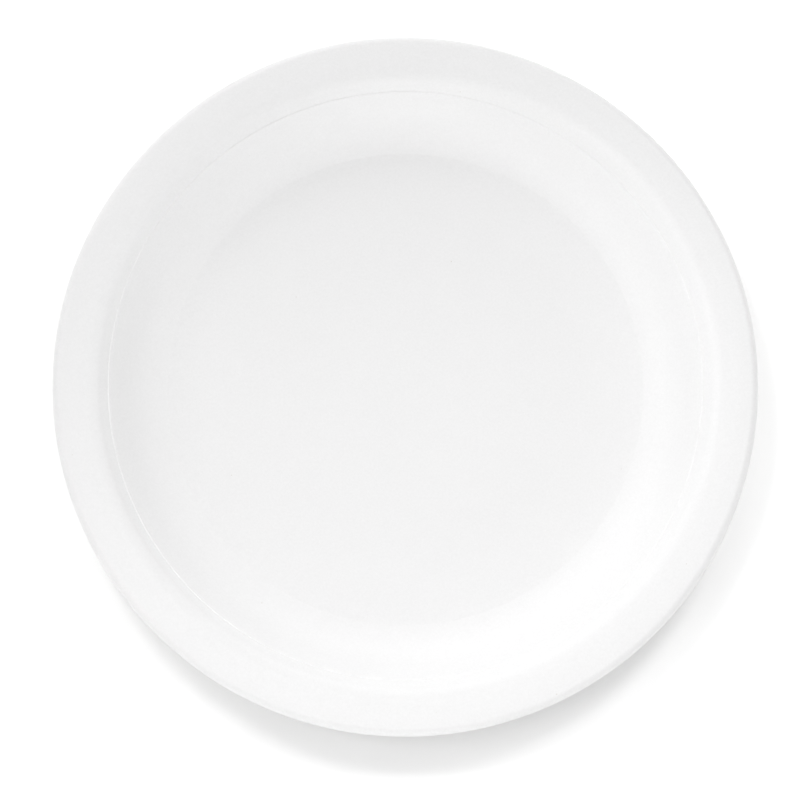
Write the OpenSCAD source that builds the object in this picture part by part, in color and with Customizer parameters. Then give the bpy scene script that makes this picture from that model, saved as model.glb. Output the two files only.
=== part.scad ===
// Round plate pressed from one sheet of white fibre board.
// The food side is drawn as a run of corners, each with its own rounding.
// The underside runs parallel to it, one board thickness below.
// The axis of the plate is Z, and the flat underside of the floor lies on z = 0.

/* [Plate] */
// Diameter over the turned-down lip
plate_d = 230; // [190:1:280]
// Height of the rim above the table
plate_h = 19; // [15:0.5:24]
// Thickness of the pressed board
board = 0.8; // [0.5:0.1:1.2]

/* [Well] */
// Width of the ring inside the crease where the floor begins to rise
upturn_w = 10; // [6:0.5:20]
// Slope of that ring where it reaches the crease, in degrees
upturn_deg = 5; // [2:0.5:8]
// Slope at which the cove leaves the crease, in degrees
cove_deg = 12; // [9:0.5:16]
// Radius of the cove between the crease and the side wall
cove_r = 24; // [16:0.5:28]
// Slope of the side wall, in degrees
wall_deg = 48.5; // [40:0.5:60]

/* [Ledge in the side wall] */
// Depth of the ledge below the rim
ledge_drop = 4.6; // [3.5:0.1:6]
// Width of the ledge
ledge_w = 0.3; // [0.2:0.1:0.8]

/* [Rim] */
// Width of the rim, from the corner over the side wall to the outer edge
rim_w = 13.8; // [12:0.1:18]
// Radius of the shoulder where the side wall turns into the rim
shoulder_r = 6; // [3:0.5:7]
// Width of the outer band of the rim, which falls away to the lip
fall_w = 7; // [6:0.5:9]
// Slope of that band, in degrees
fall_deg = 6; // [2:0.5:8]
// Radius of the crown between the level part of the rim and that band
crown_r = 20; // [10:1:36]
// Radius of the bend into the lip
lip_r = 3; // [1.6:0.1:3.6]
// Height of the lip, from the corner of its bend down to the cut edge
lip_h = 3.6; // [3:0.1:5]

/* [Hidden] */
// Turn of one step of a rounding, in degrees
arc_step = 3;
// Facets round the plate
$fn = 180;

// Corners of the food side, as [distance from the axis, height].
// First the rim, inwards from the cut edge of its lip
plate_r = plate_d / 2;
lip = [plate_r, plate_h - fall_w * tan(fall_deg)];
edge = lip - [0, lip_h];
fall = [plate_r - fall_w, plate_h];
shoulder = [plate_r - rim_w, plate_h];

// The side wall falls inwards from the shoulder, with the ledge as a step in it
ledge_out = shoulder - ledge_drop * [1 / tan(wall_deg), 1];
ledge_in = ledge_out - [ledge_w, 0];

// The cove runs out of the wall and meets the edge of the floor at the crease
crease_h = board + upturn_w / 2 * tan(upturn_deg);
cove_tangent = cove_r * tan((wall_deg - cove_deg) / 2);
cove_h = crease_h + cove_tangent * sin(cove_deg);
cove = ledge_in - (ledge_in.y - cove_h) * [1 / tan(wall_deg), 1];
crease = cove - cove_tangent * heading(cove_deg);
upturn = [crease.x - upturn_w / 2, board];
middle = [0, board];

// The corners from the centre outwards, and the radius of the rounding at each
upturn_r = upturn_w / 2 / tan(upturn_deg / 2);
corners = [middle, upturn, crease, cove, ledge_in, ledge_out, shoulder, fall, lip, edge];
roundings = [0, upturn_r, 0, cove_r, 0, 0, shoulder_r, crown_r, lip_r, 0];

function heading(deg) = [cos(deg), sin(deg)];
function slope(v) = atan2(v.y, v.x);
function last(list) = len(list) - 1;
function reversed(list) = [for (i = [last(list):-1:0]) list[i]];

// Slope of the stretch that leaves corner i
function leaving(c, i) = slope(c[i + 1] - c[i]);

// Turn at corner i, above zero where the line bends upwards
function turn(c, i) = leaving(c, i) - leaving(c, i - 1);

// Corner i of the parallel line at distance d below
function below(c, i, d) =
    i == 0 ? c[0] + d * heading(leaving(c, 0) - 90)
    : i == last(c) ? c[i] + d * heading(leaving(c, i - 1) - 90)
    : c[i] + d / cos(turn(c, i) / 2) * heading(leaving(c, i - 1) + turn(c, i) / 2 - 90);

// Radius of its rounding at corner i: larger in a hollow, smaller where the line bends downwards
function radius_below(c, radii, i, d) = radii[i] == 0 ? 0 : max(0, radii[i] + sign(turn(c, i)) * d);

// Points of a rounding of radius r at corner i
function rounded(c, i, r) =
    let (
        bend = turn(c, i),
        side = sign(bend),
        start = leaving(c, i - 1),
        from = c[i] - r * tan(abs(bend) / 2) * heading(start),
        centre = from + side * r * heading(start + 90),
        steps = max(2, ceil(abs(bend) / arc_step))
    )
    [for (k = [0:steps]) centre + side * r * heading(start - 90 + bend * k / steps)];

// The whole line with its roundings
function line(c, radii) = [for (i = [0:last(c)]) each (radii[i] == 0 ? [c[i]] : rounded(c, i, radii[i]))];

corners_below = [for (i = [0:last(corners)]) below(corners, i, board)];
roundings_below = [for (i = [0:last(corners)]) radius_below(corners, roundings, i, board)];

module plate() {
    color("white")
        rotate_extrude()
            polygon(concat(line(corners, roundings), reversed(line(corners_below, roundings_below))));
}

plate();
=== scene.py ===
# A round plate of pressed fibre board, lying on a pale table under soft studio light
import math

import bpy
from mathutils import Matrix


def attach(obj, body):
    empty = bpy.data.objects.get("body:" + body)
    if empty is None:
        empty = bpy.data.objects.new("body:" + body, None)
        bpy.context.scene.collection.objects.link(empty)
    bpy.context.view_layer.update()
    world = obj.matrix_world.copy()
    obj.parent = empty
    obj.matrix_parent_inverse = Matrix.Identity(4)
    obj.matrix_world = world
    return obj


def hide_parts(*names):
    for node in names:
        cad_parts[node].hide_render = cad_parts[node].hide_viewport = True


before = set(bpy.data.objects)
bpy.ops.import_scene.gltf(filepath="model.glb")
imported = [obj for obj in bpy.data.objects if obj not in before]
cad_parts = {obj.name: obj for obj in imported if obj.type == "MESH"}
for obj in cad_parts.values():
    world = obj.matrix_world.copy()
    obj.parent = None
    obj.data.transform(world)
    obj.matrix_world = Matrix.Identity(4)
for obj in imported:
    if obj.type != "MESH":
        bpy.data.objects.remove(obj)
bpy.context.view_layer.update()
mm = 0.001


def sinDeg(a):
    return math.sin(math.radians(a))


def cosDeg(a):
    return math.cos(math.radians(a))


def tanDeg(a):
    return math.tan(math.radians(a))


def deselectAll():
    if bpy.context.mode != "OBJECT":
        bpy.ops.object.mode_set(mode="OBJECT")
    bpy.ops.object.select_all(action="DESELECT")


# Board: matted plant fibres, pressed smooth on the food side, printed by the forming mesh below and raw at
# the cut edge. Lengths in mm

fibreLook = {
    "length": 2.6,
    "width": 0.22,
    "directions": 5,  # the fibres lie every way, so the mat is drawn in as many layers
    "firstTurn": 0.3,  # turn of the first layer, as a share of the turn between two layers
    "layerShift": (13, 7, 0),  # from one layer to the next
    "layerStretch": 3,  # through the board
    "curl": 1.2,
    "fibreEdge": (0.5, 0.8),  # noise levels where a fibre starts and where it is full
    "grainSize": 0.75,  # fine pits between the fibres
    "cloudSize": 9,  # thick and thin patches of the mat
    "noiseSpan": (0.25, 0.75),  # noise levels of the thinnest and the thickest place
    "speckSize": 0.7,
    "speckShare": 0.0003,  # of all cells as large as a speck
    "speckEdge": (0.15, 0.35),  # the speck fades out between these, in cells
    "meshPitch": 1.1,  # of the forming mesh
    "meshWobble": 0.6,
    "creaseShadeRing": (64, 78.91),  # ring of painted shade on the floor, darkening up to the crease
}

boardLooks = {
    "foodSide": {
        "colour": (0.916, 0.914, 0.915, 1), "shade": (0.86, 0.858, 0.859, 1), "speck": (0.72, 0.7, 0.66, 1),
        "roughness": (0.45, 0.55),
        "fibreHeight": 0.004, "grainHeight": 0.004, "cloudHeight": 0.008, "meshHeight": 0,
        # the last value is how far the painted shade by the crease darkens the colour
        "fibreTone": 0.25, "grainTone": 0.65, "cloudTone": 0.1, "creaseShadeTone": 0.15,
    },
    "underside": {
        "colour": (0.9, 0.898, 0.89, 1), "shade": (0.83, 0.827, 0.815, 1), "speck": (0.68, 0.65, 0.6, 1),
        "roughness": (0.62, 0.75),
        "fibreHeight": 0.016, "grainHeight": 0.012, "cloudHeight": 0.04, "meshHeight": 0.06,
        "fibreTone": 0.4, "grainTone": 0.35, "cloudTone": 0.25, "creaseShadeTone": 0,
    },
    "cutEdge": {
        "colour": (0.9, 0.897, 0.888, 1), "shade": (0.8, 0.795, 0.78, 1), "speck": (0.68, 0.65, 0.6, 1),
        "roughness": (0.75, 0.9),
        "fibreHeight": 0.03, "grainHeight": 0.02, "cloudHeight": 0.02, "meshHeight": 0,
        "fibreTone": 0.5, "grainTone": 0.4, "cloudTone": 0.1, "creaseShadeTone": 0,
    },
}


def addMath(tree, operation, *values):
    node = tree.nodes.new("ShaderNodeMath")
    node.operation = operation
    for socket, value in zip(node.inputs, values):
        if isinstance(value, (int, float)):
            socket.default_value = value
        else:
            tree.links.new(value, socket)
    return node.outputs[0]


def addRange(tree, value, source, target):
    node = tree.nodes.new("ShaderNodeMapRange")
    node.inputs["From Min"].default_value, node.inputs["From Max"].default_value = source
    node.inputs["To Min"].default_value, node.inputs["To Max"].default_value = target
    tree.links.new(value, node.inputs["Value"])
    return node.outputs["Result"]


def addLength(tree, vector):
    node = tree.nodes.new("ShaderNodeVectorMath")
    node.operation = "LENGTH"
    tree.links.new(vector, node.inputs[0])
    return node.outputs["Value"]


def addNoise(tree, vector, size, detail, distortion=0):
    node = tree.nodes.new("ShaderNodeTexNoise")
    node.inputs["Scale"].default_value = 1 / (size * mm)
    node.inputs["Detail"].default_value = detail
    node.inputs["Distortion"].default_value = distortion
    tree.links.new(vector, node.inputs["Vector"])
    return node.outputs["Fac"]


def addMix(tree, factor, first, second):
    node = tree.nodes.new("ShaderNodeMix")
    node.data_type = "RGBA"
    tree.links.new(factor, node.inputs["Factor"])
    for socket, value in ((node.inputs[6], first), (node.inputs[7], second)):  # the two colours
        if isinstance(value, tuple):
            socket.default_value = value
        else:
            tree.links.new(value, socket)
    return node.outputs[2]


def makeFibreMat(look):
    # Group: where a fibre lies, how open the grain is, how thick the mat is and where a speck lies, all of
    # them from 0 to 1
    group = bpy.data.node_groups.new("fibreMat", "ShaderNodeTree")
    group.interface.new_socket(name="Vector", in_out="INPUT", socket_type="NodeSocketVector")
    for name in ("Fibres", "Grain", "Cloud", "Specks"):
        group.interface.new_socket(name=name, in_out="OUTPUT", socket_type="NodeSocketFloat")
    place = group.nodes.new("NodeGroupInput").outputs["Vector"]
    result = group.nodes.new("NodeGroupOutput")
    layers = []
    for i in range(look["directions"]):
        turned = group.nodes.new("ShaderNodeMapping")
        turned.vector_type = "TEXTURE"
        turned.inputs["Location"].default_value = [shift * i * mm for shift in look["layerShift"]]
        turn = math.pi * (i + look["firstTurn"]) / look["directions"]
        turned.inputs["Rotation"].default_value = (0, 0, turn)
        turned.inputs["Scale"].default_value = (look["length"] / look["width"], 1, look["layerStretch"])
        group.links.new(place, turned.inputs["Vector"])
        lying = turned.outputs["Vector"]
        layers.append(addNoise(group, lying, look["width"] * 2, detail=1, distortion=look["curl"]))
    top = layers[0]
    for layer in layers[1:]:
        top = addMath(group, "MAXIMUM", top, layer)
    group.links.new(addRange(group, top, look["fibreEdge"], (0, 1)), result.inputs["Fibres"])
    grain = addNoise(group, place, look["grainSize"], detail=2)
    group.links.new(addRange(group, grain, look["noiseSpan"], (0, 1)), result.inputs["Grain"])
    cloud = addNoise(group, place, look["cloudSize"], detail=3)
    group.links.new(addRange(group, cloud, look["noiseSpan"], (0, 1)), result.inputs["Cloud"])
    cells = group.nodes.new("ShaderNodeTexVoronoi")
    cells.inputs["Scale"].default_value = 1 / (look["speckSize"] * mm)
    group.links.new(place, cells.inputs["Vector"])
    channels = group.nodes.new("ShaderNodeSeparateColor")
    group.links.new(cells.outputs["Color"], channels.inputs["Color"])
    rare = addMath(group, "LESS_THAN", channels.outputs["Red"], look["speckShare"])
    spot = addRange(group, cells.outputs["Distance"], look["speckEdge"], (1, 0))
    group.links.new(addMath(group, "MULTIPLY", rare, spot), result.inputs["Specks"])
    return group


def addMesh(tree, vector, pitch, wobble):
    # Two sets of ridges across each other
    waveAtOne = 2 * math.pi / 20  # length of the node's wave at a scale of 1
    bands = []
    for direction in ("X", "Y"):
        wave = tree.nodes.new("ShaderNodeTexWave")
        wave.bands_direction = direction
        wave.inputs["Scale"].default_value = waveAtOne / (pitch * mm)
        wave.inputs["Distortion"].default_value = wobble
        tree.links.new(vector, wave.inputs["Vector"])
        bands.append(wave.outputs["Fac"])
    return addMath(tree, "MULTIPLY", bands[0], bands[1])


def addCreaseShade(tree, vector, ring):
    # Painted shade by the crease: grows to 1 at the crease and is 0 outside it
    inner, crease = ring[0] * mm, ring[1] * mm
    away = addLength(tree, vector)
    growing = addRange(tree, away, (inner, crease), (0, 1))
    growing.node.interpolation_type = "SMOOTHSTEP"
    return addMath(tree, "MULTIPLY", growing, addMath(tree, "LESS_THAN", away, crease))


def makeBoard(name, look, fibreMat):
    material = bpy.data.materials.new(name)
    material.use_nodes = True
    tree = material.node_tree
    shader = tree.nodes["Principled BSDF"]
    place = tree.nodes.new("ShaderNodeTexCoord").outputs["Object"]
    mat = tree.nodes.new("ShaderNodeGroup")
    mat.node_tree = fibreMat
    tree.links.new(place, mat.inputs["Vector"])
    fibres, grain, cloud = mat.outputs["Fibres"], mat.outputs["Grain"], mat.outputs["Cloud"]
    tone = addMath(tree, "MULTIPLY", fibres, look["fibreTone"])
    tone = addMath(tree, "MULTIPLY_ADD", grain, look["grainTone"], tone)
    tone = addMath(tree, "MULTIPLY_ADD", cloud, look["cloudTone"], tone)
    # Painted shade: the floor's colour darkens towards the crease
    if look["creaseShadeTone"]:
        creaseShade = addCreaseShade(tree, place, fibreLook["creaseShadeRing"])
        tone = addMath(tree, "MULTIPLY_ADD", creaseShade, -look["creaseShadeTone"], tone)
    colour = addMix(tree, tone, look["shade"], look["colour"])
    tree.links.new(addMix(tree, mat.outputs["Specks"], colour, look["speck"]), shader.inputs["Base Color"])
    tree.links.new(addRange(tree, grain, (0, 1), look["roughness"]), shader.inputs["Roughness"])
    height = addMath(tree, "MULTIPLY", fibres, look["fibreHeight"])
    height = addMath(tree, "MULTIPLY_ADD", grain, look["grainHeight"], height)
    height = addMath(tree, "MULTIPLY_ADD", cloud, look["cloudHeight"], height)
    if look["meshHeight"]:
        mesh = addMesh(tree, place, fibreLook["meshPitch"], fibreLook["meshWobble"])
        height = addMath(tree, "MULTIPLY_ADD", mesh, look["meshHeight"], height)
    bump = tree.nodes.new("ShaderNodeBump")
    bump.inputs["Distance"].default_value = mm  # heights are in mm
    tree.links.new(height, bump.inputs["Height"])
    tree.links.new(bump.outputs["Normal"], shader.inputs["Normal"])
    return material


fibreMat = makeFibreMat(fibreLook)
finishes = [makeBoard(name, look, fibreMat) for name, look in boardLooks.items()]
print("board:", len(finishes), "finishes")

# The plate: its food side is drawn as one line, from the middle of the floor to the cut edge, and spun.
# Lengths in mm, slopes in degrees

plateForm = {
    "diameter": 230,
    "height": 19,
    "board": 0.8,  # thickness of the sheet
    "hub": 3,  # first ring of faces round the middle
    "upturnWidth": 10,  # ring inside the crease where the floor starts to rise
    "upturnSlope": 5,
    "creaseStrip": 0.05,  # straight strip beside the crease, which keeps it crisp
    "coveSlope": 12,  # slope at which the cove leaves the crease
    "coveRadius": 24,
    "wallSlope": 48.5,
    "ledgeDrop": 4.6,  # ledge in the side wall, below the rim
    "ledgeWidth": 0.3,
    "ledgeBevel": 0.08,  # softens the ledge's corners
    "rimWidth": 13.8,  # from the corner over the side wall to the outer edge
    "shoulderRadius": 6,
    "fallWidth": 7,  # outer band of the rim, falling to the lip
    "fallSlope": 6,
    "crownRadius": 20,
    "lipRadius": 3,
    "lipHeight": 3.6,
    "edgeRadius": 0.2,  # softens the cut edge
    "bevelSteps": 3,
    "stepsRound": 360,
    "mergeDistance": 0.01,
    "smoothAngle": 40,
}


def goStraight(pen, length, steps=1):
    step = length / steps
    for i in range(steps):
        dx, dz = step * cosDeg(pen["slope"]), step * sinDeg(pen["slope"])
        bpy.ops.mesh.extrude_region_move(TRANSFORM_OT_translate={"value": (dx * mm, 0, dz * mm)})
        pen["x"] += dx
        pen["z"] += dz


def goRound(pen, radius, slope, degPerStep=2.5):
    # Bends up or down until the line runs at the new slope
    turn = slope - pen["slope"]
    side = 1 if turn > 0 else -1
    cx = pen["x"] + radius * cosDeg(pen["slope"] + 90 * side)
    cz = pen["z"] + radius * sinDeg(pen["slope"] + 90 * side)
    bpy.ops.mesh.spin(
        steps=max(3, math.ceil(abs(turn) / degPerStep)),
        angle=math.radians(turn),
        center=(cx * mm, 0, cz * mm),
        axis=(0, 1, 0),
    )
    pen["x"] = cx + radius * cosDeg(slope - 90 * side)
    pen["z"] = cz + radius * sinDeg(slope - 90 * side)
    pen["slope"] = slope


def drawFoodSide(form):
    outer = form["diameter"] / 2
    wall, cove, upturn, fall = form["wallSlope"], form["coveSlope"], form["upturnSlope"], form["fallSlope"]
    shoulderX = outer - form["rimWidth"]
    # What each rounding takes off the stretches beside its corner
    coveTangent = form["coveRadius"] * tanDeg((wall - cove) / 2)
    shoulderTangent = form["shoulderRadius"] * tanDeg(wall / 2)
    crownTangent = form["crownRadius"] * tanDeg(fall / 2)
    lipTangent = form["lipRadius"] * tanDeg((90 - fall) / 2)
    # The crease lies where the wall and the cove, drawn inwards from the rim, come down to the floor's edge
    creaseZ = form["board"] + form["upturnWidth"] / 2 * tanDeg(upturn)
    coveZ = creaseZ + coveTangent * sinDeg(cove)
    ledgeZ = form["height"] - form["ledgeDrop"]
    coveX = shoulderX - form["ledgeWidth"] - (form["height"] - coveZ) / tanDeg(wall)
    creaseX = coveX - coveTangent * cosDeg(cove)

    pen = {"x": 0, "z": form["board"], "slope": 0}
    goStraight(pen, form["hub"])
    goStraight(pen, creaseX - form["upturnWidth"] - form["hub"], steps=8)
    goRound(pen, form["upturnWidth"] / 2 / tanDeg(upturn / 2), upturn, degPerStep=0.5)
    goStraight(pen, (creaseX - pen["x"]) / cosDeg(upturn))
    pen["slope"] = cove
    goStraight(pen, form["creaseStrip"])
    goRound(pen, form["coveRadius"], wall)
    goStraight(pen, (ledgeZ - pen["z"]) / sinDeg(wall), steps=5)
    pen["slope"] = 0  # along the ledge
    goStraight(pen, form["ledgeWidth"])
    pen["slope"] = wall
    goStraight(pen, form["ledgeDrop"] / sinDeg(wall) - shoulderTangent)
    goRound(pen, form["shoulderRadius"], 0)
    goStraight(pen, outer - form["fallWidth"] - crownTangent - pen["x"], steps=2)
    goRound(pen, form["crownRadius"], -fall, degPerStep=1)
    goStraight(pen, form["fallWidth"] / cosDeg(fall) - crownTangent - lipTangent, steps=2)
    goRound(pen, form["lipRadius"], -90, degPerStep=5)
    goStraight(pen, form["lipHeight"] - lipTangent)
    print("food side: crease at", round(creaseX, 2), "outer edge at", round(pen["x"], 2))


def makePlate(form, finishes):
    deselectAll()
    bpy.ops.mesh.primitive_plane_add(size=mm, location=(0, 0, form["board"] * mm))
    plate = bpy.context.object
    plate.name = "pressed_plate"
    for finish in finishes:
        plate.data.materials.append(finish)
    bpy.ops.object.mode_set(mode="EDIT")
    bpy.ops.mesh.merge(type="CENTER")  # one point, the middle of the floor
    drawFoodSide(form)
    bpy.ops.mesh.select_all(action="SELECT")
    bpy.ops.mesh.spin(
        steps=form["stepsRound"], angle=2 * math.pi, center=(0, 0, 0), axis=(0, 0, 1), use_auto_merge=True
    )
    bpy.ops.mesh.select_all(action="SELECT")
    bpy.ops.mesh.remove_doubles(threshold=form["mergeDistance"] * mm)
    bpy.ops.mesh.normals_make_consistent(inside=False)
    bpy.ops.object.mode_set(mode="OBJECT")
    bpy.ops.object.transform_apply(location=True, rotation=True, scale=True)
    if sum(face.normal.z for face in plate.data.polygons) < 0:  # the food side looks up
        bpy.ops.object.mode_set(mode="EDIT")
        bpy.ops.mesh.select_all(action="SELECT")
        bpy.ops.mesh.flip_normals()
        bpy.ops.object.mode_set(mode="OBJECT")
    sheet = plate.modifiers.new("sheet", "SOLIDIFY")
    sheet.thickness = form["board"] * mm
    sheet.offset = -1  # all of it below the food side
    sheet.use_even_offset = True
    sheet.use_quality_normals = True
    sheet.material_offset = 1  # underside
    sheet.material_offset_rim = 2  # cut edge
    bpy.ops.object.modifier_apply(modifier=sheet.name)
    # First the square corners of the cut edge, then the blunter ones of the ledge, above and below
    for name, width, corner in (("cutEdge", form["edgeRadius"], 70), ("ledge", form["ledgeBevel"], 45)):
        soft = plate.modifiers.new(name, "BEVEL")
        soft.width = width * mm
        soft.segments = form["bevelSteps"]
        soft.limit_method = "ANGLE"
        soft.angle_limit = math.radians(corner)
        bpy.ops.object.modifier_apply(modifier=soft.name)
    bpy.ops.object.shade_smooth_by_angle(angle=math.radians(form["smoothAngle"]))
    return plate


plate = makePlate(plateForm, finishes)
print("plate:", len(plate.data.polygons), "faces")

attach(plate, "root")
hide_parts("plate")

# Table: pale beside the plate, where it takes the shadow, and white for the camera farther out. In metres

tableForm = {
    "size": 6.0,
    "colour": (0.9, 0.9, 0.9, 1),
    "roughness": 0.9,
    "gloss": 0.1,
    "fade": (0.16, 0.5),  # distances from the plate's middle
    "lift": (0.03, 1),  # white added at those distances
}


def makeTable(form):
    deselectAll()
    bpy.ops.mesh.primitive_plane_add(size=form["size"], location=(0, 0, 0))
    table = bpy.context.object
    table.name = "table_top"
    material = bpy.data.materials.new("paleTable")
    material.use_nodes = True
    tree = material.node_tree
    shader = tree.nodes["Principled BSDF"]
    shader.inputs["Base Color"].default_value = form["colour"]
    shader.inputs["Roughness"].default_value = form["roughness"]
    shader.inputs["Specular IOR Level"].default_value = form["gloss"]
    place = tree.nodes.new("ShaderNodeTexCoord").outputs["Object"]
    lift = addRange(tree, addLength(tree, place), form["fade"], form["lift"])
    lightPath = tree.nodes.new("ShaderNodeLightPath")
    seen = addMath(tree, "MAXIMUM", lightPath.outputs["Is Camera Ray"], lightPath.outputs["Is Glossy Ray"])
    shader.inputs["Emission Color"].default_value = (1, 1, 1, 1)
    tree.links.new(addMath(tree, "MULTIPLY", lift, seen), shader.inputs["Emission Strength"])
    table.data.materials.append(material)
    return table


table = makeTable(tableForm)
print("table: done")

# Camera: looks down on the food side, a little from the front. In degrees and metres, the lens in mm

cameraView = {
    "elevation": 82.5,
    "distance": 0.8,
    "lens": 110.72,
    "sensorWidth": 36,
    "aim": (-0.00174, -0.00651, 0.017),
}


def makeCamera(view):
    elevation, away = view["elevation"], view["distance"]
    x, y, z = view["aim"]
    place = (x, y - away * cosDeg(elevation), z + away * sinDeg(elevation))
    bpy.ops.object.camera_add(location=place, rotation=(math.radians(90 - elevation), 0, 0))
    camera = bpy.context.object
    camera.data.lens = view["lens"]
    camera.data.sensor_width = view["sensorWidth"]
    bpy.context.scene.camera = camera


makeCamera(cameraView)
print("camera: done")

# Lamps: soft discs in arcs round the plate. Azimuth 0 is +X and 90 is +Y, in degrees; lengths in metres.
# The power is that of a whole arc

lampArcs = {
    "keyLeft": {
        "azimuth": 170, "spread": 60, "count": 3, "elevation": 48,
        "distance": 1.3, "size": 0.4, "power": 4.44,
    },
    "nearFront": {
        "azimuth": 290, "spread": 160, "count": 5, "elevation": 56,
        "distance": 0.34, "size": 0.14, "power": 0.607,
    },
    "nearBack": {
        "azimuth": 70, "spread": 100, "count": 3, "elevation": 36,
        "distance": 0.34, "size": 0.16, "power": 0.173,
    },
    "lowBack": {
        "azimuth": 110, "spread": 60, "count": 3, "elevation": 26,
        "distance": 1.3, "size": 0.36, "power": 3.38,
    },
    "lowFront": {
        "azimuth": 250, "spread": 60, "count": 3, "elevation": 26,
        "distance": 1.3, "size": 0.36, "power": 1.36,
    },
    "rimBack": {
        "azimuth": 60, "spread": 160, "count": 5, "elevation": 11,
        "distance": 1.3, "size": 0.36, "power": 5.63,
    },
    "tableBack": {
        "azimuth": 91, "spread": 66, "count": 2, "elevation": 48,
        "distance": 1.3, "size": 0.36, "power": 10.2,
    },
    "rimFront": {
        "azimuth": 270, "spread": 0, "count": 1, "elevation": 11,
        "distance": 1.3, "size": 0.36, "power": 3.25,
    },
}


def makeLamp(name, azimuth, arc):
    elevation = arc["elevation"]
    outwards, up = arc["distance"] * cosDeg(elevation), arc["distance"] * sinDeg(elevation)
    place = (outwards * cosDeg(azimuth), outwards * sinDeg(azimuth), up)
    turn = (math.radians(90 - elevation), 0, math.radians(azimuth + 90))  # it faces the plate
    bpy.ops.object.light_add(type="AREA", location=place, rotation=turn)
    lamp = bpy.context.object
    lamp.name = name
    lamp.data.shape = "DISK"
    lamp.data.size = arc["size"]
    lamp.data.energy = arc["power"] / arc["count"]
    return lamp


def makeArc(name, arc):
    lamps = []
    for i in range(arc["count"]):
        share = i / (arc["count"] - 1) - 0.5 if arc["count"] > 1 else 0
        lamps.append(makeLamp(f"{name}{i + 1}", arc["azimuth"] + share * arc["spread"], arc))
    return lamps


lamps = {name: makeArc(name, arc) for name, arc in lampArcs.items()}

# The lamps over the far side of the table light the table alone, so the plate throws its shadow forwards
tableLight = bpy.data.collections.new("tableLight")
tableLight.objects.link(table)
for lamp in lamps["tableBack"]:
    lamp.light_linking.receiver_collection = tableLight
print("lamps:", sum(arc["count"] for arc in lampArcs.values()))

# Sky: a dim one lights the plate, and the camera sees a white backdrop

skyLook = {
    "strength": 0.095,
    "backdrop": 1,  # strength for the camera
}

sky = bpy.data.worlds.new("studio")
bpy.context.scene.world = sky
sky.use_nodes = True
background = sky.node_tree.nodes["Background"]
background.inputs["Color"].default_value = (1, 1, 1, 1)
cameraRay = sky.node_tree.nodes.new("ShaderNodeLightPath").outputs["Is Camera Ray"]
strength = addRange(sky.node_tree, cameraRay, (0, 1), (skyLook["strength"], skyLook["backdrop"]))
sky.node_tree.links.new(strength, background.inputs["Strength"])
print("sky: done")

bpy.context.scene.view_settings.view_transform = "Standard"
